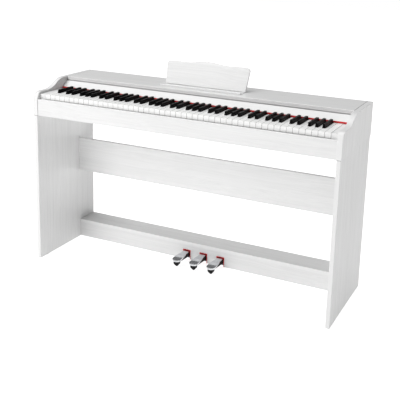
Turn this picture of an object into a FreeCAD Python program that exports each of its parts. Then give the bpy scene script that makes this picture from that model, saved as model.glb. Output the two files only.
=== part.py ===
"""Slim home digital piano on its own stand: 88 keys, three pedals, low music rest.

X runs along the keyboard with the bass end at -X, Y runs from the player to the back,
Z is up.  The origin is on the floor under the middle of the case.  Millimetres.
"""
import FreeCAD, Part
import math
import os
import re

Vector = FreeCAD.Vector
doc = FreeCAD.newDocument("DigitalPiano")

# ------------------------------------------------------------------ driving dimensions
DIMENSIONS = {
    # case
    "case_width": 1320, "case_depth": 412, "case_floor": 642, "lid_top": 778,
    "cheek_thick": 21, "shelf_height": 741, "board_thick": 15, "lid_thick": 16,
    "slip_setback": 3, "slip_top": 711, "lid_setback": 213, "back_recess": 15,
    "back_thick": 9, "name_foot": 179, "panel_fit": 0.2,
    # stand
    "leg_thick": 16, "leg_inset": 2.5, "leg_setback": 1.5, "glide_height": 3, "glide_radius": 6.5,
    "modesty_setback": 297, "modesty_low": 328, "modesty_high": 481,
    "pedal_box_setback": 302, "pedal_box_low": 4, "pedal_box_high": 86,
    # keys
    "key_setback": 22.5, "key_top": 731, "key_height": 20, "key_gap": 1, "white_pitch": 23.5,
    "head_length": 50, "reach": 152, "key_length": 232, "key_wall": 2.2, "pivot_back": 222,
    "pivot_drop": 13, "pivot_radius": 2, "running_fit": 0.08, "black_slot": 13.7,
    "black_base": 11, "black_crown": 9.4, "black_rise": 14, "black_sink": 6, "black_nose": 4.5,
    "black_gap": 1.2,
    # pedals
    "pedal_pitch": 81, "slot_width": 37, "slot_top": 48.5, "felt_thick": 2.5, "lever_width": 26,
    "axle_radius": 4, "axle_back": 392, "axle_height": 30, "plate_thick": 2,
    # music rest
    "rest_shift": -12, "rest_width": 364, "rest_flare": 6, "rest_height": 91, "rest_arch": 8,
    "rest_thick": 9, "rest_lean": 17, "rest_hinge_back": 310.9, "rest_hinge_rise": 6,
    "rest_foot": 7, "rest_offset": 8.5, "rest_knuckle": 3.6,
    "rest_ledge_back": 246, "rest_ledge_rise": 7, "rest_pin_radius": 2, "rest_hinge_place": 120,
}

sheet = doc.addObject("Spreadsheet::Sheet", "dims")
for number, (alias, value) in enumerate(DIMENSIONS.items(), start=1):
    sheet.set(f"A{number}", alias)
    sheet.set(f"B{number}", str(value))
    sheet.setAlias(f"B{number}", alias)
doc.recompute()

FRONT = "-case_depth/2"
HALF = "case_width/2"
INNER = "(case_width/2 - cheek_thick)"
LEG_IN = "(case_width/2 - leg_inset - leg_thick)"
LID_UNDER = "(lid_top - lid_thick)"
KEY_FRONT = "(-case_depth/2 + key_setback)"
PIVOT_Y = "(-case_depth/2 + key_setback + pivot_back)"
PIVOT_Z = "(key_top - pivot_drop)"
HINGE_Y = "(-case_depth/2 + rest_hinge_back)"
HINGE_Z = "(lid_top + rest_hinge_rise)"


def size(text):
    """The number that an expression in the sheet's own words comes to."""
    known = {word: float(sheet.get(word)) for word in set(re.findall(r"[a-z][a-z_]+", text))}
    total = text
    for word in sorted(known, key=len, reverse=True):
        total = re.sub(rf"\b{word}\b", repr(known[word]), total)
    return float(FreeCAD.Units.Quantity(total).Value)


def bind(item, prop, text):
    """Ties one property of an object to an expression in the sheet's words."""
    item.setExpression(prop, re.sub(r"[a-z][a-z_]+", r"dims.\g<0>", str(text)))


def finish(item, label):
    """Marks an object as one of the piano's named pieces."""
    item.Label = label
    pieces.append(item)
    return item


pieces = []
helper_count = 0


def unnamed(kind):
    """A construction object with a running name."""
    global helper_count
    helper_count += 1
    return doc.addObject(kind, f"step_{helper_count:03d}")


# ------------------------------------------------------------------ building blocks
def block(across, along, up):
    """A box between two X, two Y and two Z expressions."""
    item = unnamed("Part::Box")
    for prop, axis, (low, high) in zip(("Length", "Width", "Height"), "xyz", (across, along, up)):
        bind(item, prop, f"({high}) - ({low})")
        bind(item, f"Placement.Base.{axis}", low)
    return item


def rod(radius, length, start, axis="x"):
    """A cylinder from a start point along X, Y or Z."""
    item = unnamed("Part::Cylinder")
    turn = {"x": (Vector(0, 1, 0), 90), "y": (Vector(1, 0, 0), -90), "z": (Vector(0, 0, 1), 0)}
    item.Placement = FreeCAD.Placement(Vector(), FreeCAD.Rotation(*turn[axis]))
    bind(item, "Radius", radius)
    bind(item, "Height", length)
    for name, text in zip("xyz", start):
        bind(item, f"Placement.Base.{name}", text)
    return item


def join(items):
    """One solid out of several that touch."""
    item = unnamed("Part::MultiFuse")
    item.Shapes = items
    item.Refine = True
    return item


def cut(base, tools):
    """A base with one or more tools taken away."""
    item = unnamed("Part::Cut")
    item.Base = base
    item.Tool = tools[0] if len(tools) == 1 else join(tools)
    return item


def rounded(base, radius, chosen):
    """A base with the edges that the test picks rounded."""
    doc.recompute()
    item = unnamed("Part::Fillet")
    item.Base = base
    item.Edges = [(number, radius, radius) for number, edge in enumerate(base.Shape.Edges, start=1)
                  if chosen(edge)]
    return item


def group(label, solids):
    """Several separate solids that share one node."""
    item = doc.addObject("Part::Feature", label)
    item.Shape = Part.makeCompound(solids)
    return finish(item, label)


def shapes(items):
    """The finished shapes of construction objects."""
    doc.recompute()
    return [item.Shape for item in items]


def s_curve(start, end):
    """Two arcs that leave and arrive level and meet half way."""
    (x_start, y_start), (x_end, y_end) = start, end
    x_step = x_end - x_start
    y_step = y_end - y_start
    points = [Vector(x_start + part * x_step, y_start + rise * y_step, 0)
              for part, rise in ((0, 0), (0.25, 0.125), (0.5, 0.5), (0.75, 0.875), (1, 1))]
    return [Part.Arc(*points[0:3]), Part.Arc(*points[2:5])]


def lines(*points):
    """Straight runs through the points."""
    spots = [Vector(across, up, 0) for across, up in points]
    return [Part.LineSegment(start, end) for start, end in zip(spots, spots[1:])]


def sketch(body, name, plane, outline, offset=0):
    """A closed outline on, or at a distance from, one of the body's own origin planes."""
    item = body.newObject("Sketcher::SketchObject", name)
    origin_plane = [face for face in body.Origin.OriginFeatures if face.Role == plane][0]
    item.AttachmentSupport = [(origin_plane, "")]
    item.MapMode = "FlatFace"
    item.AttachmentOffset = FreeCAD.Placement(Vector(0, 0, offset), FreeCAD.Rotation())
    for curve in outline:
        item.addGeometry(curve, False)
    return item


def padded(label, plane, outline, length, offset=0):
    """A body whose first feature is one outline padded on both sides of its plane."""
    body = doc.addObject("PartDesign::Body", label)
    profile = sketch(body, f"{label}_outline", plane, outline, offset)
    pad = body.newObject("PartDesign::Pad", f"{label}_pad")
    pad.Profile = profile
    pad.Midplane = True
    bind(pad, "Length", length)
    doc.recompute()
    return body


def pocket(body, name, plane, outline, length, offset=0):
    """Takes an outline away on both sides of its plane."""
    before = body.Shape.Volume
    profile = sketch(body, f"{name}_outline", plane, outline, offset)
    hole = body.newObject("PartDesign::Pocket", name)
    hole.Profile = profile
    hole.Midplane = True
    bind(hole, "Length", length)
    doc.recompute()
    if body.Shape.Volume > before - 1:
        raise ValueError(f"{name} cuts nothing")
    return hole


# ------------------------------------------------------------------ case
def cheek(label, side):
    """Side panel whose top edge falls in an S from the lid to a shelf beside the keys."""
    front = size(FRONT)
    floor = size("case_floor")
    shelf = size("shelf_height")
    nose_depth = 28
    nose_height = 42
    nose = Part.Ellipse(Vector(front + nose_depth, shelf, 0), Vector(front, shelf - nose_height, 0),
                        Vector(front + nose_depth, shelf - nose_height, 0))
    s_start = (front + 75, shelf)
    s_end = (front + 190, size("lid_top"))
    outline = lines((-front, s_end[1]), (-front, floor), (front, floor), (front, shelf - nose_height))
    outline.append(Part.ArcOfEllipse(nose, 0, math.pi / 2))
    outline += lines((front + nose_depth, shelf), s_start) + s_curve(s_start, s_end)
    outline += lines(s_end, (-front, s_end[1]))
    body = padded(label, "YZ_Plane", outline, "cheek_thick")
    bind(body, "Placement.Base.x", f"{side}*(case_width/2 - cheek_thick/2)")
    return finish(body, label)


def make_case():
    """Wooden case: cheeks, key slip, keybed, lid, name board, back."""
    cheek("left_cheek", -1)
    cheek("right_cheek", 1)
    between = (f"-{INNER} + panel_fit", f"{INNER} - panel_fit")

    slip = block(between, (f"{FRONT} + slip_setback", f"{FRONT} + slip_setback + board_thick"),
                 ("case_floor", "slip_top"))
    top = size("slip_top")
    finish(rounded(slip, 1.5, lambda edge: edge.Length > 1000 and edge.BoundBox.ZMin > top - 1),
           "key_slip")

    bed_run = (f"{FRONT} + slip_setback + board_thick + 0.2", "case_depth/2 - back_recess - back_thick")
    bed = block(between, bed_run, ("case_floor", "case_floor + 17"))
    holes = [rod("46", "30", (str(centre), "124", "case_floor - 5"), "z") for centre in (-450, 450)]
    finish(cut(bed, holes), "keybed_board")

    lid = block(between, (f"{FRONT} + lid_setback", "case_depth/2"), (LID_UNDER, "lid_top"))
    lid_front = size(f"{FRONT} + lid_setback")
    finish(rounded(lid, 2.5, lambda edge: edge.Length > 1000 and edge.BoundBox.YMax < lid_front + 1),
           "lid_board")

    foot_y = size(f"{FRONT} + name_foot")
    head_y = foot_y + 31
    head_z = size(f"{LID_UNDER} - 2")
    foot_z = size("key_top + 7")
    outline = lines((foot_y, foot_z), (foot_y + 16, foot_z), (head_y + 16, head_z), (head_y, head_z),
                    (foot_y, foot_z))
    board = padded("name_board", "YZ_Plane", outline, "case_width - 2*cheek_thick - 2*panel_fit")
    finish(board, "name_board")

    felt = block(between, (f"{FRONT} + name_foot - 2.5", f"{FRONT} + name_foot + 1"),
                 ("key_top + 1.4", "key_top + 6.9"))
    finish(felt, "name_board_felt")

    back = block(between, ("case_depth/2 - back_recess - back_thick + 0.1", "case_depth/2 - back_recess"),
                 ("case_floor + 2", f"{LID_UNDER} - 0.1"))
    window = block(("-595", "-445"), ("150", "250"), ("case_floor + 32", "case_floor + 68"))
    finish(cut(back, [window]), "back_panel")

    blocks = []
    for low, high in ((f"-{INNER} + panel_fit", "-26*white_pitch - key_gap/2"),
                      ("26*white_pitch + key_gap/2", f"{INNER} - panel_fit")):
        blocks.append(block((low, high), (KEY_FRONT, f"{FRONT} + name_foot - 3"),
                            ("case_floor + 17.1", "key_top")))
    group("key_end_blocks", shapes(blocks))


# ------------------------------------------------------------------ keyboard
WHITE_NAMES = {"c": (0, 0, 3), "d": (1, 1, 3), "e": (2, 2, 3),
               "f": (3, 0, 4), "g": (4, 1, 4), "a": (5, 2, 4), "b": (6, 3, 4)}
BLACK_NAMES = {"c_sharp": (0, 0, 3), "d_sharp": (0, 1, 3),
               "f_sharp": (3, 0, 4), "g_sharp": (3, 1, 4), "a_sharp": (3, 2, 4)}
MIDDLE_C = -3
OCTAVE = 7


def tail_width(group_size):
    """Width of a white key's tail, in a run of three or four white keys."""
    return f"(({group_size}*white_pitch - {group_size - 1}*black_slot)/{group_size})"


def pivot_bore(left, right):
    """The bore for the pivot rod through one key's side walls."""
    return rod("pivot_radius + running_fit", f"({right}) - ({left})", (left, PIVOT_Y, PIVOT_Z))


def white_key(cell, tail_left, tail_right):
    """Hollow white key: wide head, narrower tail beside the black keys, open below."""
    left = f"{cell}*white_pitch + key_gap/2"
    right = f"{cell + 1}*white_pitch - key_gap/2"
    levels = ("key_top - key_height", "key_top")
    inside = ("key_top - key_height - 1", "key_top - key_wall")
    split = f"{KEY_FRONT} + head_length"
    rear = f"{KEY_FRONT} + key_length"
    head = block((left, right), (KEY_FRONT, split), levels)
    tail = block((tail_left, tail_right), (f"{split} - 1", rear), levels)
    head_hollow = block((f"{left} + key_wall", f"{right} - key_wall"),
                        (f"{KEY_FRONT} + key_wall", f"{split} - key_wall"), inside)
    tail_hollow = block((f"{tail_left} + key_wall", f"{tail_right} - key_wall"),
                        (f"{split} - key_wall - 1", f"{rear} - key_wall"), inside)
    bore = pivot_bore(f"{cell}*white_pitch - 5", f"{cell + 1}*white_pitch + 5")
    return cut(join([head, tail]), [head_hollow, tail_hollow, bore])


def black_key(slot_left):
    """Black key: tapered crown with a sloping nose on a narrow hollow body."""
    middle = f"({slot_left} + black_slot/2)"
    crown = unnamed("Part::Wedge")
    crown_base = "(key_top - black_sink)"
    crown_rear = f"({KEY_FRONT} + reach)"
    crown.Placement = FreeCAD.Placement(Vector(), FreeCAD.Rotation(Vector(1, 0, 0), 90))
    bounds = {"Xmin": "-black_base/2", "Xmax": "black_base/2", "X2min": "-black_crown/2",
              "X2max": "black_crown/2", "Ymin": "0", "Ymax": "black_rise + black_sink",
              "Zmin": "0", "Zmax": "reach - head_length - black_gap", "Z2min": "1",
              "Z2max": "reach - head_length - black_gap - black_nose"}
    for prop in ("Xmax", "X2max", "Ymax", "Zmax", "Z2max", "Xmin", "X2min", "Ymin", "Zmin", "Z2min"):
        bind(crown, prop, bounds[prop])
    for axis, text in zip("xyz", (middle, crown_rear, crown_base)):
        bind(crown, f"Placement.Base.{axis}", text)
    sides = (f"{middle} - black_base/2 + 0.4", f"{middle} + black_base/2 - 0.4")
    rear = f"{KEY_FRONT} + key_length"
    body = block(sides, (f"{KEY_FRONT} + head_length + 2", rear),
                 ("key_top - key_height", f"{crown_base} + 1"))
    hollow = block((f"{sides[0]} + key_wall", f"{sides[1]} - key_wall"),
                   (f"{KEY_FRONT} + head_length + 2 + key_wall", f"{rear} - key_wall"),
                   ("key_top - key_height - 1", f"{crown_base} - 1.5"))
    bore = pivot_bore(f"{slot_left} - 2", f"{slot_left} + black_slot + 2")
    return cut(join([crown, body]), [hollow, bore])


def make_keys():
    """The middle octave key by key, then the other keys of each name together."""
    masters = {}
    for name, (place, order, run) in WHITE_NAMES.items():
        cell = MIDDLE_C + place
        start = f"({cell - order}*white_pitch + {order}*({tail_width(run)} + black_slot))"
        left = f"{start}" if order else f"{start} + key_gap/2"
        right = f"{start} + {tail_width(run)}" + ("" if order < run - 1 else " - key_gap/2")
        masters[name] = white_key(cell, left, right)
    for name, (place, order, run) in BLACK_NAMES.items():
        first = MIDDLE_C + place
        slot = f"({first}*white_pitch + {order + 1}*{tail_width(run)} + {order}*black_slot)"
        masters[name] = black_key(slot)

    lowest_a = -26
    a_right = f"({lowest_a - 2}*white_pitch + 3*{tail_width(4)} + 2*black_slot)"
    bottom_a = white_key(lowest_a, f"{lowest_a}*white_pitch + key_gap/2", a_right)
    top_c = white_key(25, "25*white_pitch + key_gap/2", "26*white_pitch - key_gap/2")
    doc.recompute()

    step = OCTAVE * size("white_pitch")
    for name, master in masters.items():
        finish(master, f"key_{name}_middle")
        octaves = [-3, -2, -1, 1, 2, 3]
        if name in ("a_sharp", "b"):
            octaves.append(-4)
        others = [master.Shape.translated(Vector(number * step, 0, 0)) for number in octaves]
        if name == "a":
            others.append(bottom_a.Shape.copy())
        if name == "c":
            others.append(top_c.Shape.copy())
        group(f"keys_{name}_other_octaves", others)


def make_key_bed_works():
    """Key frame, pivot rod, circuit boards."""
    edge = "(26*white_pitch - 0.5)"
    floor = "(case_floor + 17.1)"
    plate_top = f"({floor} + 2)"
    span = (f"-{edge}", edge)
    parts = [block(span, (f"{FRONT} + 32", f"{FRONT} + 264"), (floor, plate_top))]
    rail = block(span, (f"{FRONT} + 34", f"{FRONT} + 50"), (floor, "key_top - key_height - 11"))
    rail_hollow = block((f"-{edge} - 1", f"{edge} + 1"), (f"{FRONT} + 36", f"{FRONT} + 48"),
                        (plate_top, "key_top - key_height - 13"))
    for place in (122, 160):
        parts.append(block(span, (f"{FRONT} + {place}", f"{FRONT} + {place + 3}"), (floor, "key_top - 37.1")))
    wall = (f"{FRONT} + 261", f"{FRONT} + 264")
    parts.append(block((f"-{edge} - 5", f"{edge} + 5"), wall, (floor, "key_top - 4")))
    bores = [rail_hollow]
    for side in (-1, 1):
        near = f"{side}*({edge} + 1.5)"
        far = f"{side}*({edge} + 4.5)"
        ends = (near, far) if side > 0 else (far, near)
        parts.append(block(ends, (f"{PIVOT_Y} - 8", f"{FRONT} + 262"), (floor, f"{PIVOT_Z} + 8")))
        bores.append(rod("pivot_radius + 0.02", "8", (f"{ends[0]} - 2", PIVOT_Y, PIVOT_Z)))
    frame = cut(join([cut(rail, [rail_hollow])] + parts), bores[1:])
    finish(frame, "key_frame")

    pivot = rod("pivot_radius", f"2*{edge} + 10", (f"-{edge} - 5", PIVOT_Y, PIVOT_Z))
    finish(pivot, "key_pivot_rod")

    contact_run = (f"{FRONT} + 118", f"{FRONT} + 167")
    boards = [block(("-600", "600"), contact_run, ("key_top - 37", "key_top - 35.4")),
              block(("-120", "120"), ("84", "166"), ("case_floor + 27", "case_floor + 28.6"))]
    for across in (-112, 112):
        for along in (92, 158):
            boards.append(rod("3", "9.9", (str(across), str(along), "case_floor + 17.05"), "z"))
    for across, width, height in ((-80, 30, 14), (-20, 18, 4), (15, 18, 4), (60, 40, 10)):
        boards.append(block((str(across), str(across + width)), ("110", "136"),
                            ("case_floor + 28.6", f"case_floor + 28.6 + {height}")))
    group("circuit_boards", shapes(boards))


def speaker(centre_x):
    """Round driver above the keybed with its perforated grille in the keybed's hole."""
    floor = size("case_floor + 17.1")
    centre = Vector(centre_x, 124, floor)
    up = Vector(0, 0, 1)
    basket = Part.makeCylinder(54, 3, centre, up)
    basket = basket.fuse(Part.makeCone(46, 24, 24, centre + Vector(0, 0, 3), up))
    basket = basket.fuse(Part.makeCylinder(30, 18, centre + Vector(0, 0, 27), up))
    cone = Part.makeCone(42, 14, 18, centre - Vector(0, 0, 0.5), up)
    driver = basket.cut(cone).removeSplitter()
    grille = Part.makeCylinder(45.8, 2, Vector(centre_x, 124, size("case_floor + 2.2")), up)
    ring = Part.makeCylinder(44, 4, Vector(centre_x, 124, size("case_floor + 1")), up)
    slots = []
    for number in range(-6, 7):
        across = number * 6.4
        reach = math.sqrt(41 ** 2 - across ** 2)
        slots.append(Part.makeBox(3.2, 2 * reach, 6,
                                  Vector(centre_x + across - 1.6, 124 - reach, size("case_floor"))))
    bar = Part.makeCompound(slots).common(ring)
    return [driver, grille.cut(bar)]


def make_electrics():
    """Speakers, rear socket plate, power switch, volume knob."""
    group("speakers", speaker(-450) + speaker(450))

    back = size("case_depth/2 - back_recess")
    middle = size("case_floor + 50")
    plate = Part.makeBox(164, 2, 48, Vector(-602, back + 0.05, middle - 24))
    facing = Vector(0, 1, 0)
    drills = []
    for across, radius in ((-585, 3.2), (-560, 4.6), (-536, 4.6)):
        drills.append(Part.makeCylinder(radius, 10, Vector(across, back - 5, middle), facing))
    for across, width, height in ((-515, 22, 9), (-486, 10, 9), (-458, 13.4, 21.4)):
        corner = Vector(across - width / 2, back - 5, middle - height / 2)
        drills.append(Part.makeBox(width, 10, height, corner))
    wells = []
    for across in (-560, -536):
        well = Part.makeCylinder(7, 12, Vector(across, back - 12, middle), facing)
        wells.append(well.cut(Part.makeCylinder(3.2, 12, Vector(across, back - 9, middle), facing)))
    inlet = Part.makeBox(22, 14, 9, Vector(-526, back - 14, middle - 4.5))
    wells.append(inlet.cut(Part.makeBox(19, 12, 6, Vector(-524.5, back - 10, middle - 3))))
    group("jack_plate", [plate.cut(Part.makeCompound(drills))] + wells)

    pivot_y = back - 2
    side_view = ((0, -8.2), (6, -8.6), (4.3, 0), (4.25, 8.6), (0, 8.2))
    corners = [Vector(-464.5, pivot_y + out, middle + up) for out, up in side_view]
    rear = Part.Arc(corners[-1], Vector(-464.5, pivot_y - 8.2, middle), corners[0])
    rocker = Part.Wire([*Part.makePolygon(corners).Edges, rear.toShape()])
    item = doc.addObject("Part::Feature", "power_switch")
    item.Shape = Part.Face(rocker).extrude(Vector(13, 0, 0))
    finish(item, "power_switch")

    knob = Part.makeCylinder(9, 9.5, Vector(-585, back + 3, middle), facing)
    knob = knob.makeFillet(1.2, [edge for edge in knob.Edges if edge.BoundBox.YMin > back + 12])
    shaft = Part.makeCylinder(3, 12, Vector(-585, back - 8, middle), facing)
    mark = Part.makeBox(1.4, 2, 6, Vector(-585.7, back + 11.8, middle + 1.5))
    item = doc.addObject("Part::Feature", "volume_knob")
    item.Shape = knob.fuse(shaft).cut(mark).removeSplitter()
    finish(item, "volume_knob")


# ------------------------------------------------------------------ music rest
def make_music_rest():
    """Base with front ledge, two hinge blocks behind the plate, and the leaning plate."""
    middle = "rest_shift"
    span = (f"{middle} - rest_width/2", f"{middle} + rest_width/2")
    ledge = (f"{FRONT} + rest_ledge_back", f"{FRONT} + rest_ledge_back + 8")
    top = "(lid_top + 0.05)"
    base = block(span, (ledge[0], f"{HINGE_Y} - 16.5"), (top, f"{top} + 2"))
    lip = block(span, ledge, (top, f"{top} + rest_ledge_rise"))
    ledge_back = size(ledge[1])
    lip = rounded(lip, 3, lambda edge: edge.Length > 200 and edge.BoundBox.ZMin > size("lid_top") + 6)
    body = join([base, lip])
    doc.recompute()
    if body.Shape.BoundBox.YMin > ledge_back:
        raise ValueError("the ledge is missing")
    parts = [body]
    for side in (-1, 1):
        centre = f"{middle} + {side}*rest_hinge_place"
        foot = block((f"{centre} - 12", f"{centre} + 12"),
                     (f"{HINGE_Y} - rest_knuckle", f"{HINGE_Y} + rest_knuckle"), (top, HINGE_Z))
        eye = rod("rest_knuckle", "24", (f"{centre} - 12", HINGE_Y, HINGE_Z))
        hole = rod("rest_pin_radius + 0.01", "30", (f"{centre} - 15", HINGE_Y, HINGE_Z))
        parts.append(cut(join([foot, eye]), [hole]))
        parts.append(rod("rest_pin_radius", "40", (f"{centre} - 20", HINGE_Y, HINGE_Z)))
    group("music_rest_base", shapes(parts))

    half_low = size("rest_width/2")
    half_high = half_low + size("rest_flare")
    height = size("rest_height")
    arch = size("rest_arch")
    corner = 14
    shoulder = 95
    start = -size("rest_foot")
    outline = lines((-half_low, start), (half_low, start), (half_high, height - corner))
    outline.append(Part.Arc(Vector(half_high, height - corner, 0),
                            Vector(half_high - corner * 0.293, height - corner * 0.293, 0),
                            Vector(half_high - corner, height, 0)))
    outline += lines((half_high - corner, height), (shoulder, height))
    crest = (0, height + arch)
    outline += s_curve((shoulder, height), crest) + s_curve(crest, (-shoulder, height))
    outline += lines((-shoulder, height), (corner - half_high, height))
    outline.append(Part.Arc(Vector(corner - half_high, height, 0),
                            Vector(corner * 0.293 - half_high, height - corner * 0.293, 0),
                            Vector(-half_high, height - corner, 0)))
    outline += lines((-half_high, height - corner), (-half_low, start))
    plate = padded("music_rest_plate", "XZ_Plane", outline, "rest_thick", size("rest_offset"))
    knuckle = size("rest_knuckle")
    web = size("rest_thick/2 - rest_offset") - 1
    for side, name in ((-1, "left_hinge"), (1, "right_hinge")):
        for end in (-1, 1):
            circle = Part.Circle(Vector(), Vector(0, 0, 1), knuckle)
            eye = [Part.ArcOfCircle(circle, -math.pi / 2, math.pi / 2)]
            eye += lines((0, knuckle), (web, knuckle), (web, -knuckle), (0, -knuckle))
            word = "inner" if end * side < 0 else "outer"
            across = side * size("rest_hinge_place") + end * 16.5
            pad = plate.newObject("PartDesign::Pad", f"{name}_{word}_knuckle")
            pad.Profile = sketch(plate, f"{name}_{word}_outline", "YZ_Plane", eye, across)
            pad.Midplane = True
            pad.Length = 8
            doc.recompute()
        bore = [Part.Circle(Vector(0, 0, 0), Vector(0, 0, 1), size("rest_pin_radius + running_fit"))]
        pocket(plate, f"{name}_bore", "YZ_Plane", bore, "47", side * size("rest_hinge_place"))
    lean = FreeCAD.Rotation(Vector(1, 0, 0), -size("rest_lean"))
    plate.Placement = FreeCAD.Placement(Vector(), lean)
    for axis, text in zip("xyz", (middle, HINGE_Y, HINGE_Z)):
        bind(plate, f"Placement.Base.{axis}", text)
    finish(plate, "music_rest_plate")


# ------------------------------------------------------------------ stand
def make_stand():
    """Leg panels, modesty panel, pedal box and their fixings."""
    for label, side in (("left_leg_panel", -1), ("right_leg_panel", 1)):
        outer = f"{side}*({HALF} - leg_inset)"
        inner = f"{side}*{LEG_IN}"
        ends = (outer, inner) if side < 0 else (inner, outer)
        panel = block(ends, (f"{FRONT} + leg_setback", "case_depth/2"), ("glide_height", "case_floor"))
        finish(panel, label)

    glides = []
    for side in (-1, 1):
        for along in ("-150", "150"):
            glides.append(rod("glide_radius", "glide_height",
                              (f"{side}*({LEG_IN} + leg_thick/2)", along, "0"), "z"))
    group("leg_glides", shapes(glides))

    between = (f"-{LEG_IN} + 0.1", f"{LEG_IN} - 0.1")
    modesty = block(between, (f"{FRONT} + modesty_setback", f"{FRONT} + modesty_setback + board_thick"),
                    ("modesty_low", "modesty_high"))
    finish(modesty, "modesty_panel")

    shelf = block(between, (f"{FRONT} + pedal_box_setback", "case_depth/2"),
                  ("pedal_box_high - board_thick", "pedal_box_high"))
    high = size("pedal_box_high")
    finish(rounded(shelf, 1, lambda edge: edge.Length > 1000 and edge.BoundBox.ZMin > high - 1
                   and edge.BoundBox.YMax < 150), "pedal_box_top_board")

    face = f"{FRONT} + pedal_box_setback + 1.5"
    front = block(between, (face, f"{face} + board_thick"),
                  ("pedal_box_low", "pedal_box_high - board_thick - 0.05"))
    slots = []
    felts = []
    for number in (-1, 0, 1):
        centre = f"{number}*pedal_pitch"
        slots.append(block((f"{centre} - slot_width/2", f"{centre} + slot_width/2"),
                           (f"{face} - 5", f"{face} + 30"), ("pedal_box_low - 5", "slot_top")))
        outer = block((f"{centre} - slot_width/2 + 0.05", f"{centre} + slot_width/2 - 0.05"),
                      (f"{face} - 0.6", f"{face} + board_thick"), ("pedal_box_low + 0.5", "slot_top - 0.05"))
        inner = block((f"{centre} - slot_width/2 + felt_thick", f"{centre} + slot_width/2 - felt_thick"),
                      (f"{face} - 5", f"{face} + 30"), ("pedal_box_low - 5", "slot_top - felt_thick"))
        felts.append(cut(outer, [inner]))
    finish(cut(front, slots), "pedal_box_front_board")
    group("pedal_slot_felts", shapes(felts))


def bracket(corner, wall, roof, width_axis):
    """Steel angle with one hole in each flange; wall and roof point away from the corner."""
    flange = 30
    gauge = 2.5
    width = 36
    side = width_axis * width
    solids = []
    for along, inward in ((wall, roof), (roof, wall)):
        start = corner - side * 0.5
        end = start + along * flange
        points = [start, end, end + inward * gauge, start + inward * gauge]
        leaf = Part.Face(Part.makePolygon(points + [start])).extrude(side)
        drill = Part.makeCylinder(2.2, 12, corner + along * 18 - inward * 6, inward)
        solids.append(leaf.cut(drill))
    return solids[0].fuse(solids[1]).removeSplitter()


def screw(corner, along, inward):
    """Pan-head screw through a bracket flange into the board behind it."""
    seat = corner + along * 18 + inward * 2.55
    head = Part.makeCylinder(4, 2.2, seat, inward)
    head = head.makeFillet(0.8, [head.Edges[0]])
    shank = Part.makeCylinder(2, 13, seat - inward * 13, inward)
    return head.fuse(shank).removeSplitter()


def make_fixings():
    """Angle brackets inside the corners and the screws that hold them."""
    up = Vector(0, 0, 1)
    back = Vector(0, 1, 0)
    right = Vector(1, 0, 0)
    inner = size(f"{LEG_IN}")
    bed_under = size("case_floor")
    modesty_back = size(f"{FRONT} + modesty_setback + board_thick")
    shelf_under = size("pedal_box_high - board_thick")
    brackets = []
    screws = []
    for side in (-1, 1):
        inward = right * -side
        wall = side * (inner - 0.05)
        places = [(Vector(wall, along, bed_under - 0.05), -up, inward, back) for along in (-60, 150)]
        places += [(Vector(wall, modesty_back + 0.05, level), back, inward, up) for level in (355, 450)]
        places.append((Vector(wall, 160, shelf_under - 0.05), -up, inward, back))
        for corner, first, second, width_axis in places:
            brackets.append(bracket(corner, first, second, width_axis))
            screws.append(screw(corner, first, second))
            screws.append(screw(corner, second, first))
    group("corner_brackets", brackets)
    group("assembly_screws", screws)


# ------------------------------------------------------------------ pedals
TOE_REACH = 110
CAP_GAUGE = 3.4


def deck(face, toe):
    """Side-view line on which the chrome cap lies on the lever, from the back to the toe."""
    return [(face + 20, 41.3), (face + 10, 40.9), (toe + 9, 36.6)]


def lever(label, number):
    """Black moulded lever from the axle to under the toe, with a tapered stop lug."""
    face = size(f"{FRONT} + pedal_box_setback")
    axle_y = size(f"{FRONT} + axle_back")
    axle_z = size("axle_height")
    toe = face - TOE_REACH
    hub = 9.5
    rest = 0.1
    front = deck(face, toe)
    outline = [Part.ArcOfCircle(Part.Circle(Vector(axle_y, axle_z, 0), Vector(0, 0, 1), hub),
                                -math.pi / 2, math.pi / 2)]
    outline += lines((axle_y, axle_z + hub), (front[1][0], front[1][1] - rest),
                     (toe + 11, front[2][1] - rest), (toe + 11, 30), (toe + 14, 27),
                     (face + 4, 20.5), (axle_y, axle_z - hub))
    body = padded(label, "YZ_Plane", outline, "lever_width")
    bore = [Part.Circle(Vector(axle_y, axle_z, 0), Vector(0, 0, 1), size("axle_radius + running_fit"))]
    pocket(body, f"{label}_bore", "YZ_Plane", bore, "2*lever_width")
    lug_y = toe + 20
    loft = body.newObject("PartDesign::AdditiveLoft", f"{label}_lug")
    rings = []
    for place, (half_x, half_y, height) in enumerate(((12.8, 9, 30), (12.2, 8.6, 18), (2.6, 2.6, 6.5))):
        left, right = -half_x, half_x
        ring = lines((left, lug_y - half_y), (right, lug_y - half_y), (right, lug_y + half_y),
                     (left, lug_y + half_y), (left, lug_y - half_y))
        rings.append(sketch(body, f"{label}_ring_{place}", "XY_Plane", ring, height))
    loft.Profile = rings[0]
    loft.Sections = rings[1:]
    loft.Ruled = True
    doc.recompute()
    bind(body, "Placement.Base.x", f"{number}*pedal_pitch")
    return finish(body, label)


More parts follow.
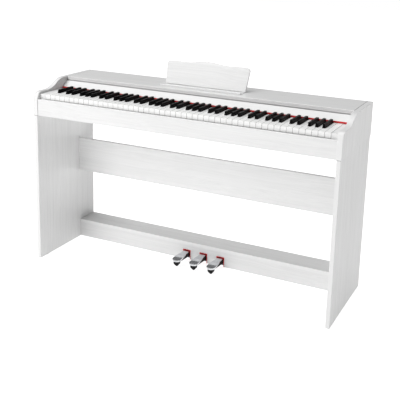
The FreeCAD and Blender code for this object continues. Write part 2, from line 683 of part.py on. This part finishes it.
def cap(label, number):
    """Chrome spoon over the lever: narrow neck, wide rounded toe with a turned-down rim."""
    face = size(f"{FRONT} + pedal_box_setback")
    toe = face - TOE_REACH
    neck = 13
    bowl = 19.5
    wide = toe + 24
    outline = lines((neck, face - 26), (neck, face + 1), (-neck, face + 1), (-neck, face - 26))
    outline += [Part.Arc(Vector(-neck, face - 26, 0), Vector(-bowl + 1.6, face - 54, 0),
                         Vector(-bowl, wide, 0)),
                Part.Arc(Vector(-bowl, wide, 0), Vector(0, toe, 0), Vector(bowl, wide, 0)),
                Part.Arc(Vector(bowl, wide, 0), Vector(bowl - 1.6, face - 54, 0),
                         Vector(neck, face - 26, 0))]
    body = padded(label, "XY_Plane", outline, "200")
    back, slot, tip = deck(face, toe)
    upper = [(across, up + CAP_GAUGE) for across, up in (back, slot, tip)]
    upper += [(toe + 4, 39), (toe + 0.6, 36.6), (toe - 10, 36.6)]
    sky = lines((face + 20, 150), *upper, (toe - 10, 150), (face + 20, 150))
    pocket(body, f"{label}_above", "YZ_Plane", sky, "100")
    rim_low = 32.5
    fade = toe + 46
    slope = (slot[1] - tip[1]) / (slot[0] - tip[0])
    fade_level = slot[1] + (fade - slot[0]) * slope
    lower = [back, slot, (fade, fade_level), (toe + 22, rim_low + 1.5), (toe + 12, rim_low),
             (toe - 10, rim_low)]
    ground = lines((face + 20, -150), *lower, (toe - 10, -150), (face + 20, -150))
    pocket(body, f"{label}_below", "YZ_Plane", ground, "100")
    channel_end = (fade + 2, fade_level + 2 * slope)
    channel = lines(channel_end, (toe + 10, tip[1] + slope), (toe + 10, -50), (fade + 2, -50), channel_end)
    pocket(body, f"{label}_channel", "YZ_Plane", channel, "lever_width + 0.6")
    bind(body, "Placement.Base.x", f"{number}*pedal_pitch")
    return finish(body, label)


def coil(centre, bottom, top, radius, wire):
    """Open compression spring standing on the base plate."""
    turns = 5
    height = top - bottom - wire
    helix = Part.makeHelix(height / turns, height, radius)
    helix.translate(centre + Vector(0, 0, bottom + wire / 2))
    start = centre + Vector(radius, 0, bottom + wire / 2)
    section = Part.Wire([Part.Circle(start, Vector(0, 1, 0), wire / 2).toShape()])
    return Part.Wire(helix.Edges).makePipeShell([section], True, True)


def make_pedals():
    """Axle plate, axle, springs, levers and caps."""
    floor = "(pedal_box_low + 1)"
    top = f"({floor} + plate_thick)"
    inside = f"({FRONT} + pedal_box_setback + 1.5 + board_thick + 0.1)"
    plate = block(("-150", "150"), (inside, "case_depth/2 - 4"), (floor, top))
    parts = [plate]
    bores = []
    axle_y = f"({FRONT} + axle_back)"
    for place in (-1.5, -0.5, 0.5, 1.5):
        centre = f"{place}*pedal_pitch"
        parts.append(block((f"{centre} - 1.5", f"{centre} + 1.5"), (f"{axle_y} - 12", f"{axle_y} + 12"),
                           (floor, "pedal_box_high - board_thick - 0.1")))
        parts.append(block((f"{centre} - 12", f"{centre} + 12"), (inside, f"{inside} + plate_thick"),
                           (floor, "slot_top - 4")))
        bores.append(rod("axle_radius + 0.02", "10", (f"{centre} - 5", axle_y, "axle_height")))
    finish(cut(join(parts), bores), "pedal_base_plate")

    axle = rod("axle_radius", "3*pedal_pitch + 12", ("-1.5*pedal_pitch - 6", axle_y, "axle_height"))
    finish(axle, "pedal_axle")

    springs = []
    for number, side in ((-1, "left"), (0, "middle"), (1, "right")):
        lever(f"{side}_pedal_lever", number)
        cap(f"{side}_pedal_cap", number)
        spot = Vector(number * size("pedal_pitch"), size(f"{FRONT} + 345"), 0)
        springs.append(coil(spot, size(f"{top} + 0.1"), 19.8, 7, 1.6))
    group("pedal_springs", springs)


# ------------------------------------------------------------------ build, check, write
make_case()
make_keys()
make_key_bed_works()
make_electrics()
make_music_rest()
make_stand()
make_fixings()
make_pedals()
doc.recompute()

problems = [item.Name for item in doc.Objects if "Invalid" in item.State or "Error" in item.State]
for piece in pieces:
    if piece.Shape.isNull() or not piece.Shape.isValid() or not piece.Shape.Solids:
        problems.append(piece.Label)
if problems:
    raise ValueError(f"bad shapes: {problems}")

os.makedirs("parts", exist_ok=True)
for piece in pieces:
    piece.Shape.exportStep(f"parts/{piece.Label}.step")
    box = piece.Shape.BoundBox
    volume = piece.Shape.Volume / 1000
    print(f"{piece.Label:32s} solids {len(piece.Shape.Solids):3d}  volume {volume:9.1f} cm3"
          f"  x {box.XMin:7.1f}..{box.XMax:7.1f}  y {box.YMin:7.1f}..{box.YMax:7.1f}"
          f"  z {box.ZMin:6.1f}..{box.ZMax:6.1f}")
print(len(pieces), "pieces")
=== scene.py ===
"""Looks of a slim white digital piano on its panel stand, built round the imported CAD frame."""
import math

import bmesh
import bpy
from mathutils import Matrix, Vector


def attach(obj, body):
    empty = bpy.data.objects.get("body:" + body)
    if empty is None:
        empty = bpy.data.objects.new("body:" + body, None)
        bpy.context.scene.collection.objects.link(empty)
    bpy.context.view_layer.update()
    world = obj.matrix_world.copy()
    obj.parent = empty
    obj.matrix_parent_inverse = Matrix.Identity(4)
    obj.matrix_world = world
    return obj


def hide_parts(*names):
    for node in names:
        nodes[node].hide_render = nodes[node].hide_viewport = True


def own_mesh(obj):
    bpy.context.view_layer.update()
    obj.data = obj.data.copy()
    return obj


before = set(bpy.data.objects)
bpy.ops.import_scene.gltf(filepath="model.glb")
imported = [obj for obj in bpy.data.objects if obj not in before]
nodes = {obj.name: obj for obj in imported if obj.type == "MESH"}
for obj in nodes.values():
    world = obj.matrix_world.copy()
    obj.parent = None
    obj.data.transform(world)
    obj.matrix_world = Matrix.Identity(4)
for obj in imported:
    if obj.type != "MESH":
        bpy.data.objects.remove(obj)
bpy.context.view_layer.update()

MM = 0.001
scene = bpy.context.scene


# ------------------------------------------------------------------ material helpers
class Look:
    """A node-based material with short ways to add and join its nodes."""

    def __init__(self, name, **constants):
        self.material = bpy.data.materials.new(name)
        self.material.use_nodes = True
        self.tree = self.material.node_tree
        self.tree.nodes.clear()
        self.shader = self.tree.nodes.new("ShaderNodeBsdfPrincipled")
        self.output = self.tree.nodes.new("ShaderNodeOutputMaterial")
        self.tree.links.new(self.shader.outputs["BSDF"], self.output.inputs["Surface"])
        for socket, value in constants.items():
            self.shader.inputs[socket.replace("_", " ")].default_value = value

    def join(self, source, target):
        self.tree.links.new(source, target)

    def node(self, kind, inputs=(), **settings):
        """Adds a node; inputs maps a socket's name or number to a value or another node's output."""
        made = self.tree.nodes.new(kind)
        for name, value in settings.items():
            setattr(made, name, value)
        for socket, value in dict(inputs).items():
            target = made.inputs[socket]
            if isinstance(value, bpy.types.NodeSocket):
                self.join(value, target)
            else:
                target.default_value = value
        return made

    def place(self):
        """Coordinates fixed to the piece, in metres."""
        return self.node("ShaderNodeTexCoord").outputs["Object"]

    def stretched(self, scale, offset=(0, 0, 0)):
        """The piece's coordinates with their own scale along X, Y and Z."""
        mapping = self.node("ShaderNodeMapping", {"Vector": self.place(), "Scale": scale,
                                                  "Location": offset})
        return mapping.outputs["Vector"]

    def noise(self, vector, scale=1.0, detail=2.0, roughness=0.5, distortion=0.0):
        made = self.node("ShaderNodeTexNoise", {"Vector": vector, "Scale": scale, "Detail": detail,
                                                "Roughness": roughness, "Distortion": distortion})
        return made.outputs["Fac"]

    def spread(self, value, low, high, to_low=0.0, to_high=1.0):
        """Rescales a value from low..high to to_low..to_high."""
        made = self.node("ShaderNodeMapRange", {"Value": value, "From Min": low, "From Max": high,
                                                "To Min": to_low, "To Max": to_high})
        return made.outputs["Result"]

    def maths(self, operation, first, second=0.0):
        made = self.node("ShaderNodeMath", {0: first, 1: second}, operation=operation)
        return made.outputs["Value"]

    def blend(self, factor, first, second):
        """Mixes two colours."""
        made = self.node("ShaderNodeMix", data_type="RGBA")
        for socket, value in (("Factor_Float", factor), ("A_Color", first), ("B_Color", second)):
            target = [item for item in made.inputs if item.identifier == socket][0]
            if isinstance(value, bpy.types.NodeSocket):
                self.join(value, target)
            else:
                target.default_value = value
        return [item for item in made.outputs if item.identifier == "Result_Color"][0]

    def relief(self, height, depth, strength=1.0):
        """Bump of that depth in metres on the shader's normal."""
        made = self.node("ShaderNodeBump", {"Height": height, "Distance": depth, "Strength": strength})
        self.join(made.outputs["Normal"], self.shader.inputs["Normal"])

    def set(self, socket, value):
        self.join(value, self.shader.inputs[socket])


def grey(level):
    return (level, level, level, 1)


# ------------------------------------------------------------------ materials
LAMINATE_WHITE = (0.77, 0.77, 0.768, 1)
LAMINATE_GRAIN = (0.58, 0.58, 0.58, 1)
ACROSS = {"x": (1, 2), "y": (0, 2), "z": (0, 1)}
# Grey of the painted shade in the seams between boards, where the next board's overhang casts shade.
SEAM_SHADE_GREY = 0.16
STREAKS_PER_METRE = 260
MAIN_BOARD_TOP = 0.6708
MAIN_BOARD_PARTS_TOP = 0.690


def grain_scale(axis, along, across):
    return tuple(along if name == axis else across for name in "xyz")


def laminate(name, axis, flat, seed, lift=1.0, joint=None):
    """White wood-grain laminate. axis is the grain's direction and flat the thin way of the board,
    whose edges carry a plainer edge band. lift brightens the board. joint is an axis and the distance
    from the origin beyond which the board is painted dark grey: painted shade in the seam to the next board."""
    look = Look(name, Specular_IOR_Level=0.45, IOR=1.5, Coat_Weight=0.12, Coat_Roughness=0.35)
    shift = (seed * 3.1, seed * 5.7, seed * 2.3)
    bend = look.noise(look.stretched(grain_scale(axis, 2.2, 9.0), shift), detail=1.5)
    bend = look.maths("MULTIPLY", look.maths("SUBTRACT", bend, 0.5), 0.055)
    offset = look.node("ShaderNodeCombineXYZ", {index: bend for index in ACROSS[axis]})
    warped = look.node("ShaderNodeVectorMath", {0: look.place(), 1: offset.outputs[0]}, operation="ADD")

    def streaks(along, across, detail, roughness=0.5):
        mapping = look.node("ShaderNodeMapping", {"Vector": warped.outputs[0], "Location": shift,
                                                  "Scale": grain_scale(axis, along, across)})
        return look.noise(mapping.outputs["Vector"], detail=detail, roughness=roughness)

    bands = look.spread(streaks(0.8, 70, 2.0), 0.34, 0.68)
    lines = look.spread(streaks(3.5, 300, 3.0, 0.6), 0.38, 0.70)
    pores = look.spread(streaks(26, 1300, 2.0), 0.60, 0.74)
    clouds = look.spread(look.noise(look.stretched((2.5, 2.5, 2.5), shift), detail=2), 0.3, 0.7)
    figure = look.maths("ADD", look.maths("MULTIPLY", bands, 0.20),
                        look.maths("MULTIPLY", lines, 0.24))
    figure = look.maths("ADD", figure, look.maths("MULTIPLY", pores, 0.22))
    figure = look.maths("ADD", figure, look.maths("MULTIPLY", clouds, 0.05))
    normal = look.node("ShaderNodeTexCoord").outputs["Normal"]
    parts = look.node("ShaderNodeSeparateXYZ", {0: normal})
    facing = look.maths("ABSOLUTE", parts.outputs["xyz".index(flat)])
    board_face = look.spread(facing, 0.5, 0.8, 0.3, 1.0)
    figure = look.maths("MULTIPLY", figure, board_face)
    surface = look.blend(figure, tuple(lift * part for part in LAMINATE_WHITE[:3]) + (1,),
                         tuple(lift * part for part in LAMINATE_GRAIN[:3]) + (1,))
    # Painted shade: past the given distance the board turns dark grey, standing in for the shade in the seam
    # to the next board.
    if joint:
        spot = look.node("ShaderNodeSeparateXYZ", {0: look.place()})
        away = look.maths("ABSOLUTE", spot.outputs[joint[0]])
        surface = look.blend(look.maths("GREATER_THAN", away, joint[1]), surface, grey(SEAM_SHADE_GREY))
    look.set("Base Color", surface)
    look.set("Roughness", look.spread(look.maths("ADD", lines, clouds), 0.0, 2.0, 0.36, 0.52))
    look.relief(look.maths("ADD", look.maths("MULTIPLY", lines, -0.4), look.maths("MULTIPLY", pores, -0.9)),
                0.00012, 0.5)
    return look.material


def smooth_plastic(name, colour, shade, roughness, coat, grain=9000.0, depth=0.00001, specular=0.5,
                   side=None):
    """Moulded plastic with faint handling marks and a fine moulded surface.
    side is the colour of the faces to the left and right: painted shade that darkens the gaps between keys."""
    look = Look(name, Specular_IOR_Level=specular, IOR=1.49, Coat_Weight=coat, Coat_Roughness=0.3)
    marks = look.noise(look.stretched((30, 30, 30)), detail=4, roughness=0.65)
    surface = look.blend(look.spread(marks, 0.3, 0.75), colour, shade)
    # Painted shade: faces turned to the left or right take the darker side colour, so the gaps between keys
    # read dark.
    if side:
        normal = look.node("ShaderNodeTexCoord").outputs["Normal"]
        gap_shade_mask = look.maths("ABSOLUTE", look.node("ShaderNodeSeparateXYZ", {0: normal}).outputs["X"])
        surface = look.blend(look.spread(gap_shade_mask, 0.25, 0.6), surface, side)
    look.set("Base Color", surface)
    look.set("Roughness", look.spread(marks, 0.25, 0.8, roughness * 0.8, roughness * 1.3))
    look.relief(look.noise(look.stretched((grain, grain, grain)), detail=1), depth, 0.4)
    return look.material


def felt(name, colour, shade):
    """Pressed wool felt: short crossing fibres, slightly uneven dye."""
    look = Look(name, Specular_IOR_Level=0.15, Sheen_Weight=0.35, Sheen_Roughness=0.5)
    fibres = look.noise(look.stretched((900, 2600, 2600)), detail=4, roughness=0.7, distortion=1.5)
    tufts = look.noise(look.stretched((160, 160, 160)), detail=3)
    mixed = look.maths("ADD", look.maths("MULTIPLY", fibres, 0.6), look.maths("MULTIPLY", tufts, 0.4))
    look.set("Base Color", look.blend(look.spread(mixed, 0.35, 0.68), colour, shade))
    look.set("Roughness", look.spread(fibres, 0.2, 0.8, 0.85, 1.0))
    look.relief(mixed, 0.0004, 0.9)
    return look.material


def metal(name, colour, shade, roughness, brushed=(1, 1, 1), depth=0.000004):
    """Plated metal with fine streaks and a slightly uneven polish."""
    look = Look(name, Metallic=1.0)
    streak_scale = tuple(STREAKS_PER_METRE * part for part in brushed)
    streaks = look.noise(look.stretched(streak_scale), detail=4, roughness=0.6)
    patches = look.noise(look.stretched((22, 22, 22)), detail=3)
    look.set("Base Color", look.blend(look.spread(patches, 0.3, 0.7), colour, shade))
    polish = look.maths("ADD", streaks, patches)
    look.set("Roughness", look.spread(polish, 0.6, 1.4, roughness * 0.7, roughness * 1.4))
    look.relief(streaks, depth, 0.35)
    return look.material


def board_green(name):
    """Solder mask with raised lighter tracks, and dark components on the main board."""
    look = Look(name, Specular_IOR_Level=0.5, Coat_Weight=0.3, Coat_Roughness=0.15)
    checks = look.node("ShaderNodeTexBrick", {"Vector": look.stretched((1, 1, 1)), "Scale": 90.0,
                                              "Mortar Size": 0.03, "Color1": grey(0.0), "Color2": grey(0.35),
                                              "Mortar": grey(1.0)})
    dust = look.noise(look.stretched((60, 60, 60)), detail=3)
    tracks = look.spread(checks.outputs["Fac"], 0, 1)
    mask = look.blend(tracks, (0.012, 0.13, 0.045, 1), (0.05, 0.27, 0.10, 1))
    level = look.node("ShaderNodeSeparateXYZ", {0: look.place()}).outputs["Z"]
    parts = look.maths("MULTIPLY", look.maths("GREATER_THAN", level, MAIN_BOARD_TOP),
                       look.maths("LESS_THAN", level, MAIN_BOARD_PARTS_TOP))
    look.set("Base Color", look.blend(parts, mask, grey(0.03)))
    look.set("Roughness", look.spread(dust, 0.3, 0.7, 0.28, 0.45))
    look.relief(tracks, 0.00006, 0.6)
    return look.material


def hardboard(name):
    """White-faced hardboard: flat paint over faint fibres."""
    look = Look(name, Specular_IOR_Level=0.35)
    fibres = look.noise(look.stretched((380, 380, 380)), detail=5, roughness=0.7, distortion=2.0)
    clouds = look.noise(look.stretched((6, 6, 6)), detail=3)
    mixed = look.maths("ADD", look.maths("MULTIPLY", fibres, 0.5), look.maths("MULTIPLY", clouds, 0.5))
    look.set("Base Color", look.blend(look.spread(mixed, 0.35, 0.65), grey(0.78), grey(0.70)))
    look.set("Roughness", look.spread(fibres, 0.3, 0.7, 0.6, 0.78))
    look.relief(fibres, 0.00008, 0.5)
    return look.material


# The grey side colour of the white keys is painted shade in the narrow gaps between them.
white_key = smooth_plastic("white_key", (0.92, 0.92, 0.915, 1), (0.89, 0.89, 0.88, 1), 0.40, 0.10,
                           specular=0.35, side=grey(0.14))
black_key = smooth_plastic("black_key", (0.0015, 0.0015, 0.002, 1), (0.004, 0.004, 0.0045, 1), 0.36, 0.0,
                           2200.0, 0.00003, specular=0.03)
black_plastic = smooth_plastic("black_plastic", (0.005, 0.005, 0.006, 1), (0.010, 0.010, 0.011, 1), 0.45, 0.0,
                               1500.0, 0.00006, specular=0.12)
glide_plastic = smooth_plastic("glide_plastic", grey(0.55), grey(0.48), 0.5, 0.0, 1500.0, 0.00005)
red_felt = felt("red_felt", (0.80, 0.05, 0.05, 1), (0.62, 0.028, 0.03, 1))
chrome = metal("pedal_chrome", (0.68, 0.69, 0.71, 1), (0.62, 0.63, 0.65, 1), 0.09, (1, 0.2, 1))
zinc = metal("zinc_steel", (0.60, 0.61, 0.64, 1), (0.48, 0.49, 0.51, 1), 0.36, (1, 1, 0.15), 0.00001)
spring_steel = metal("spring_steel", (0.42, 0.42, 0.44, 1), (0.30, 0.30, 0.32, 1), 0.28)
solder_mask = board_green("circuit_board")
backboard = hardboard("backboard")

BOARDS = {
    "left_cheek": ("z", "x"), "right_cheek": ("z", "x"), "left_leg_panel": ("z", "x"),
    "right_leg_panel": ("z", "x"), "key_slip": ("x", "y"), "lid_board": ("x", "z"),
    "name_board": ("x", "y"), "keybed_board": ("x", "z"), "modesty_panel": ("x", "y"),
    "pedal_box_top_board": ("x", "z"), "pedal_box_front_board": ("x", "y"),
    "music_rest_plate": ("x", "y"), "music_rest_base": ("x", "z"), "key_end_blocks": ("x", "z"),
}
# Brighter colour for these boards; on the name board it is painted light, offsetting the shade under the
# lid's front edge.
LIFT = {"name_board": 1.02, "key_end_blocks": 1.1, "music_rest_plate": 1.05}
# Painted shade at the seams: the tops of the leg panels under the cheeks and the ends of the lid beside the
# cheeks.
SEAM_SHADES = {"left_leg_panel": ("Z", 0.6402), "right_leg_panel": ("Z", 0.6402), "lid_board": ("X", 0.6375)}
PLAIN = {
    "back_panel": backboard, "name_board_felt": red_felt, "pedal_slot_felts": red_felt,
    "key_frame": zinc, "key_pivot_rod": zinc, "pedal_axle": zinc, "pedal_base_plate": zinc,
    "corner_brackets": zinc, "assembly_screws": zinc, "pedal_springs": spring_steel,
    "circuit_boards": solder_mask, "jack_plate": black_plastic, "power_switch": black_plastic,
    "volume_knob": black_plastic, "speakers": black_plastic, "leg_glides": glide_plastic,
}


def dress(name, material):
    """Gives a CAD node its material."""
    mesh = nodes[name].data
    mesh.materials.clear()
    mesh.materials.append(material)


for seed, (name, (axis, flat)) in enumerate(BOARDS.items(), start=1):
    dress(name, laminate(f"laminate_{name}", axis, flat, seed, LIFT.get(name, 1.0), SEAM_SHADES.get(name)))
for name, material in PLAIN.items():
    dress(name, material)
for name in nodes:
    if name.startswith("key_") and name.endswith("_middle") or name.endswith("_other_octaves"):
        dress(name, black_key if "_sharp_" in name else white_key)
    if name.endswith("_pedal_lever"):
        dress(name, black_plastic)
    if name.endswith("_pedal_cap"):
        dress(name, chrome)


# ------------------------------------------------------------------ edges
WELD_DISTANCE = 0.002 * MM
FLAT_ANGLE = math.radians(0.6)
ROUNDED_ANGLE = math.radians(30)
BOARD_EDGE = 0.7 * MM
WHITE_KEY_EDGE = 0.55 * MM
BLACK_KEY_EDGE = 0.8 * MM
CAP_EDGE = 1.3 * MM
LEVER_EDGE = 1.0 * MM
SMALL_EDGE = 0.35 * MM


def soften(name, width, segments=2):
    """Joins a CAD mesh's faces, rounds its edges by width and evens its normals."""
    item = nodes[name]
    mesh = item.data
    for attribute in ("custom_normal", "sharp_edge", "sharp_face"):
        if attribute in mesh.attributes:
            mesh.attributes.remove(mesh.attributes[attribute])
    mesh.polygons.foreach_set("use_smooth", [True] * len(mesh.polygons))
    weld = item.modifiers.new("one skin", "WELD")
    weld.merge_threshold = WELD_DISTANCE
    planes = item.modifiers.new("whole faces", "DECIMATE")
    planes.decimate_type = "DISSOLVE"
    planes.angle_limit = FLAT_ANGLE
    edge = item.modifiers.new("soft edges", "BEVEL")
    edge.width = width
    edge.segments = segments
    edge.limit_method = "ANGLE"
    edge.angle_limit = ROUNDED_ANGLE
    edge.use_clamp_overlap = True
    even = item.modifiers.new("even normals", "WEIGHTED_NORMAL")
    even.keep_sharp = True


for name in BOARDS:
    soften(name, BOARD_EDGE)
for name in nodes:
    if "_middle" in name and name.startswith("key_") or name.endswith("_other_octaves"):
        soften(name, BLACK_KEY_EDGE if "_sharp_" in name else WHITE_KEY_EDGE, 3)
    if name.endswith("_pedal_cap"):
        soften(name, CAP_EDGE, 4)
    if name.endswith("_pedal_lever"):
        soften(name, LEVER_EDGE)
for name in ("back_panel", "name_board_felt", "pedal_slot_felts", "jack_plate", "power_switch",
             "corner_brackets", "pedal_base_plate"):
    soften(name, SMALL_EDGE)

# ------------------------------------------------------------------ pedal springs
SPRING_TURNS = 5
SPRING_STEPS = 24
WIRE_SIDES = 8
SPRING_RADIUS = 7.0 * MM
WIRE_RADIUS = 0.8 * MM
SPRING_Y = 0.139
SPRING_FOOT = 7.2 * MM
SPRING_HEAD = 19.8 * MM
PEDAL_PITCH = 0.081


def pedal_spring(name, across):
    """A coil of round wire standing on the base plate, closed at both ends."""
    shape = bmesh.new()
    rings = []
    last = SPRING_TURNS * SPRING_STEPS
    for step in range(last + 1):
        angle = math.tau * step / SPRING_STEPS
        outward = Vector((math.cos(angle), math.sin(angle), 0))
        rise = SPRING_FOOT + WIRE_RADIUS + (SPRING_HEAD - SPRING_FOOT - 2 * WIRE_RADIUS) * step / last
        centre = Vector((across, SPRING_Y, rise)) + outward * SPRING_RADIUS
        ring = []
        for side in range(WIRE_SIDES):
            round_wire = math.tau * side / WIRE_SIDES
            ring.append(shape.verts.new(centre + outward * WIRE_RADIUS * math.cos(round_wire)
                                        + Vector((0, 0, WIRE_RADIUS * math.sin(round_wire)))))
        rings.append(ring)
    for below, above in zip(rings, rings[1:]):
        for side in range(WIRE_SIDES):
            after = (side + 1) % WIRE_SIDES
            shape.faces.new((below[side], below[after], above[after], above[side]))
    shape.faces.new(rings[0])
    shape.faces.new(rings[-1])
    bmesh.ops.recalc_face_normals(shape, faces=shape.faces)
    mesh = bpy.data.meshes.new(name)
    shape.to_mesh(mesh)
    shape.free()
    mesh.polygons.foreach_set("use_smooth", [True] * len(mesh.polygons))
    mesh.materials.append(spring_steel)
    item = bpy.data.objects.new(name, mesh)
    scene.collection.objects.link(item)
    return item


for place, side in ((-1, "left"), (0, "middle"), (1, "right")):
    spring = pedal_spring(f"{side}_pedal_spring", place * PEDAL_PITCH)
    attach(spring, "cabinet")
    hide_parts("pedal_springs")
    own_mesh(spring)

# ------------------------------------------------------------------ stage, light, camera
FLOOR_REACH = 14.0
FLOOR_LEVEL = -0.4 * MM
WORLD_LIGHT = 0.22
BACKDROP = 1.0

floor_mesh = bpy.data.meshes.new("floor")
corners = [(across * FLOOR_REACH, along * FLOOR_REACH, 0)
           for across, along in ((-1, -1), (1, -1), (1, 1), (-1, 1))]
floor_mesh.from_pydata(corners, [], [(0, 1, 2, 3)])
floor = bpy.data.objects.new("floor", floor_mesh)
floor.location.z = FLOOR_LEVEL
scene.collection.objects.link(floor)
pale = Look("pale_floor", Base_Color=grey(0.5), Roughness=0.8, Specular_IOR_Level=0.1,
            Emission_Color=grey(1.0), Emission_Strength=0.85)
floor_mesh.materials.append(pale.material)

world = bpy.data.worlds.new("studio")
scene.world = world
world.use_nodes = True
tree = world.node_tree
tree.nodes.clear()
around = tree.nodes.new("ShaderNodeBackground")
around.inputs["Color"].default_value = grey(1.0)
around.inputs["Strength"].default_value = WORLD_LIGHT
seen = tree.nodes.new("ShaderNodeBackground")
seen.inputs["Color"].default_value = grey(1.0)
seen.inputs["Strength"].default_value = BACKDROP
path = tree.nodes.new("ShaderNodeLightPath")
choice = tree.nodes.new("ShaderNodeMixShader")
out = tree.nodes.new("ShaderNodeOutputWorld")
tree.links.new(path.outputs["Is Camera Ray"], choice.inputs["Fac"])
tree.links.new(around.outputs[0], choice.inputs[1])
tree.links.new(seen.outputs[0], choice.inputs[2])
tree.links.new(choice.outputs[0], out.inputs["Surface"])


def soft_light(name, place, aim, size, power):
    """A large square light."""
    lamp = bpy.data.lights.new(name, "AREA")
    lamp.shape = "SQUARE"
    lamp.size = size
    lamp.energy = power
    item = bpy.data.objects.new(name, lamp)
    item.location = place
    item.rotation_euler = (Vector(aim) - Vector(place)).to_track_quat("-Z", "Y").to_euler()
    scene.collection.objects.link(item)


soft_light("key light", place=(-1.6, -3.0, 2.3), aim=(0.0, 0.0, 0.5), size=1.8, power=66.0)
top_lamp = bpy.data.lights.new("top light", "SUN")
top_lamp.angle = math.radians(50)
top_lamp.energy = 1.9
top_light = bpy.data.objects.new("top light", top_lamp)
top_light.rotation_euler = (0, math.radians(-16), 0)
scene.collection.objects.link(top_light)

CAMERA_PLACE = (1.3137, -2.6773, 1.3695)
CAMERA_TURN = 25.88
CAMERA_TILT = 13.33
CAMERA_ROLL = 1.45
CAMERA_LENS = 68.19
CAMERA_SHIFT = -0.2
SENSOR_WIDTH = 36
FAR_CLIP = 60
turn, tilt, roll = map(math.radians, (CAMERA_TURN, CAMERA_TILT, CAMERA_ROLL))
forward = Vector((-math.sin(turn) * math.cos(tilt), math.cos(turn) * math.cos(tilt), -math.sin(tilt)))
level = Vector((math.cos(turn), math.sin(turn), 0))
lift = level.cross(forward)
right = level * math.cos(roll) + lift * math.sin(roll)
up = right.cross(forward)
camera = bpy.data.objects.new("camera", bpy.data.cameras.new("camera"))
facing = Matrix((right, up, -forward)).transposed().to_4x4()
camera.matrix_world = Matrix.Translation(CAMERA_PLACE) @ facing
camera.data.sensor_width = SENSOR_WIDTH
camera.data.lens = CAMERA_LENS
camera.data.shift_y = CAMERA_SHIFT
camera.data.clip_end = FAR_CLIP
scene.collection.objects.link(camera)
scene.camera = camera
scene.view_settings.view_transform = "Standard"
